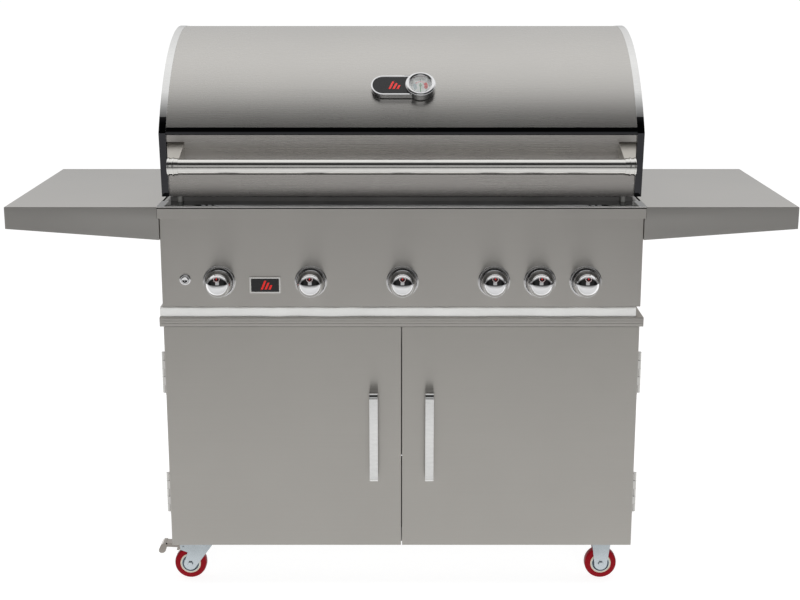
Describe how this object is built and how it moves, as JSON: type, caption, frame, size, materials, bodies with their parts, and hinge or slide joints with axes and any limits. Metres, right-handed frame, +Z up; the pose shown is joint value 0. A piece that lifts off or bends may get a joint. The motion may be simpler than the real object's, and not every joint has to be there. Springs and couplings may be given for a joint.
{
  "type": "gas barbecue grill",
  "caption": "Freestanding gas grill: roll-top hood with thermometer, row of control knobs, two-door cabinet, side shelves, swivel and fixed casters.",
  "frame": {"origin": "on the ground, under the centre of the bounding box", "axes": "+X to the cook's right, +Y away from the cook, +Z up"},
  "size_m": [1.745, 0.624, 1.2709],
  "materials": {
    "panel_steel": "brushed along X",
    "door_steel": "fine brushed",
    "hood_steel": "fine brushed along X",
    "shelf_steel": "fine brushed",
    "inner_steel": "mill finish sheet",
    "polished_steel": "mirror polished stainless",
    "chrome": "mirror",
    "grate_steel": "satin rod",
    "burner_steel": "dull tube",
    "zinc": "bright zinc plate",
    "valve_brass": "turned",
    "valve_alloy": "die cast",
    "gas_pipe": "drawn",
    "gasket_fibre": "soft white fibre",
    "bumper_rubber": "matt",
    "wheel_tread": "smooth red polyurethane",
    "dial_white": "satin",
    "needle_red": "satin",
    "lens_glass": "clear",
    "bolt_steel": "plain"
  },
  "bodies": {
    "grill_body": {"cart_side_panels": "door_steel", "cart_rear_panel": "inner_steel", "cart_floor": "inner_steel", "cart_face_frame": "inner_steel", "cart_top_frame": "panel_steel", "ledge_gasket": "gasket_fibre", "side_shelves": "shelf_steel", "door_hinge_frame_leaves": "chrome", "swivel_caster_plates": "zinc", "rigid_caster_forks": "zinc", "firebox": "inner_steel", "front_sill": "panel_steel", "control_panel": "panel_steel", "panel_bezels": "chrome", "valve_bodies": "valve_alloy", "gas_manifold": "gas_pipe", "hood_bumpers": "bumper_rubber", "burners": "burner_steel", "rear_burner": "burner_steel", "heat_tents": "burner_steel", "cooking_grates": "grate_steel", "warming_rack": "grate_steel", "assembly_bolts": "bolt_steel"},
    "hood": {"hood_skin": "hood_steel", "hood_liner": "inner_steel", "hood_end_caps": "polished_steel", "hood_handle_bar": "chrome", "hood_handle_brackets": "chrome", "gauge_plate": "chrome", "gauge_dial": "dial_white", "gauge_lens": "lens_glass"},
    "gauge_needle": {"gauge_needle": "needle_red"},
    "left_door": {"left_door": "door_steel", "left_door_handle": "polished_steel", "left_door_hinge_leaves": "chrome"},
    "right_door": {"right_door": "door_steel", "right_door_handle": "polished_steel", "right_door_hinge_leaves": "chrome"},
    "drip_tray": {"drip_tray": "inner_steel"},
    "ignition_button": {"ignition_button": "chrome"},
    "valve_1": {"valve_plug_1": "valve_brass"},
    "knob_1": {"knob_1": "chrome"},
    "valve_2": {"valve_plug_2": "valve_brass"},
    "knob_2": {"knob_2": "chrome"},
    "valve_3": {"valve_plug_3": "valve_brass"},
    "knob_3": {"knob_3": "chrome"},
    "valve_4": {"valve_plug_4": "valve_brass"},
    "knob_4": {"knob_4": "chrome"},
    "valve_5": {"valve_plug_5": "valve_brass"},
    "knob_5": {"knob_5": "chrome"},
    "valve_6": {"valve_plug_6": "valve_brass"},
    "knob_6": {"knob_6": "chrome"},
    "front_left_fork": {"front_left_fork": "zinc"},
    "front_left_brake": {"front_left_brake": "zinc"},
    "front_left_wheel": {"front_left_wheel": "wheel_tread"},
    "front_right_wheel": {"front_right_wheel": "wheel_tread"},
    "rear_left_fork": {"rear_left_fork": "zinc"},
    "rear_left_brake": {"rear_left_brake": "zinc"},
    "rear_left_wheel": {"rear_left_wheel": "wheel_tread"},
    "rear_right_wheel": {"rear_right_wheel": "wheel_tread"}
  },
  "joints": [
    {"name": "hood_hinge", "type": "hinge", "parent": "grill_body", "child": "hood", "pos_m": [0, 0.286, 0.93], "axis": [-1, 0, 0], "range_deg": [0, 90]},
    {"name": "left_door_hinge", "type": "hinge", "parent": "grill_body", "child": "left_door", "pos_m": [-0.539, -0.235, 0.3675], "axis": [0, 0, -1], "range_deg": [0, 110]},
    {"name": "right_door_hinge", "type": "hinge", "parent": "grill_body", "child": "right_door", "pos_m": [0.539, -0.235, 0.3675], "axis": [0, 0, 1], "range_deg": [0, 110]},
    {"name": "drip_tray_slide", "type": "slide", "parent": "grill_body", "child": "drip_tray", "axis": [0, 1, 0], "range_m": [0, 0.36]},
    {"name": "ignition_push", "type": "slide", "parent": "grill_body", "child": "ignition_button", "axis": [0, 1, 0], "range_m": [0, 0.003], "stiffness_N_per_m": 1000, "springref_m": -0.001},
    {"name": "gauge_needle_turn", "type": "hinge", "parent": "hood", "child": "gauge_needle", "pos_m": [0.042, -0.15765, 1.15523], "axis": [0, 0.6997, -0.7145], "range_deg": [0, 270], "stiffness_Nm_per_rad": 0.001},
    {"name": "valve_1_turn", "type": "hinge", "parent": "grill_body", "child": "valve_1", "pos_m": [-0.405, -0.228, 0.7314], "axis": [0, -1, 0], "range_deg": [0, 225]},
    {"name": "knob_1_push", "type": "slide", "parent": "valve_1", "child": "knob_1", "axis": [0, 1, 0], "range_m": [0, 0.003], "stiffness_N_per_m": 1500, "springref_m": -0.001},
    {"name": "valve_2_turn", "type": "hinge", "parent": "grill_body", "child": "valve_2", "pos_m": [-0.2015, -0.228, 0.7314], "axis": [0, -1, 0], "range_deg": [0, 225]},
    {"name": "knob_2_push", "type": "slide", "parent": "valve_2", "child": "knob_2", "axis": [0, 1, 0], "range_m": [0, 0.003], "stiffness_N_per_m": 1500, "springref_m": -0.001},
    {"name": "valve_3_turn", "type": "hinge", "parent": "grill_body", "child": "valve_3", "pos_m": [0.002, -0.228, 0.7314], "axis": [0, -1, 0], "range_deg": [0, 225]},
    {"name": "knob_3_push", "type": "slide", "parent": "valve_3", "child": "knob_3", "axis": [0, 1, 0], "range_m": [0, 0.003], "stiffness_N_per_m": 1500, "springref_m": -0.001},
    {"name": "valve_4_turn", "type": "hinge", "parent": "grill_body", "child": "valve_4", "pos_m": [0.2055, -0.228, 0.7314], "axis": [0, -1, 0], "range_deg": [0, 225]},
    {"name": "knob_4_push", "type": "slide", "parent": "valve_4", "child": "knob_4", "axis": [0, 1, 0], "range_m": [0, 0.003], "stiffness_N_per_m": 1500, "springref_m": -0.001},
    {"name": "valve_5_turn", "type": "hinge", "parent": "grill_body", "child": "valve_5", "pos_m": [0.30725, -0.228, 0.7314], "axis": [0, -1, 0], "range_deg": [0, 225]},
    {"name": "knob_5_push", "type": "slide", "parent": "valve_5", "child": "knob_5", "axis": [0, 1, 0], "range_m": [0, 0.003], "stiffness_N_per_m": 1500, "springref_m": -0.001},
    {"name": "valve_6_turn", "type": "hinge", "parent": "grill_body", "child": "valve_6", "pos_m": [0.409, -0.228, 0.7314], "axis": [0, -1, 0], "range_deg": [0, 225]},
    {"name": "knob_6_push", "type": "slide", "parent": "valve_6", "child": "knob_6", "axis": [0, 1, 0], "range_m": [0, 0.003], "stiffness_N_per_m": 1500, "springref_m": -0.001},
    {"name": "front_left_swivel", "type": "hinge", "parent": "grill_body", "child": "front_left_fork", "pos_m": [-0.471, -0.197, 0.089], "axis": [0, 0, 1], "continuous": true},
    {"name": "front_left_axle", "type": "hinge", "parent": "front_left_fork", "child": "front_left_wheel", "pos_m": [-0.499, -0.197, 0.0375], "axis": [0, 1, 0], "continuous": true},
    {"name": "front_left_brake_pedal", "type": "hinge", "parent": "front_left_fork", "child": "front_left_brake", "pos_m": [-0.515, -0.197, 0.08], "axis": [0, -1, 0], "range_deg": [0, 14], "stiffness_Nm_per_rad": 2, "springref_deg": -8.59},
    {"name": "front_right_axle", "type": "hinge", "parent": "grill_body", "child": "front_right_wheel", "pos_m": [0.471, -0.197, 0.0375], "axis": [0, 1, 0], "continuous": true},
    {"name": "rear_left_swivel", "type": "hinge", "parent": "grill_body", "child": "rear_left_fork", "pos_m": [-0.471, 0.246, 0.089], "axis": [0, 0, 1], "continuous": true},
    {"name": "rear_left_axle", "type": "hinge", "parent": "rear_left_fork", "child": "rear_left_wheel", "pos_m": [-0.499, 0.246, 0.0375], "axis": [0, 1, 0], "continuous": true},
    {"name": "rear_left_brake_pedal", "type": "hinge", "parent": "rear_left_fork", "child": "rear_left_brake", "pos_m": [-0.515, 0.246, 0.08], "axis": [0, -1, 0], "range_deg": [0, 14], "stiffness_Nm_per_rad": 2, "springref_deg": -8.59},
    {"name": "rear_right_axle", "type": "hinge", "parent": "grill_body", "child": "rear_right_wheel", "pos_m": [0.471, 0.246, 0.0375], "axis": [0, 1, 0], "continuous": true}
  ]
}
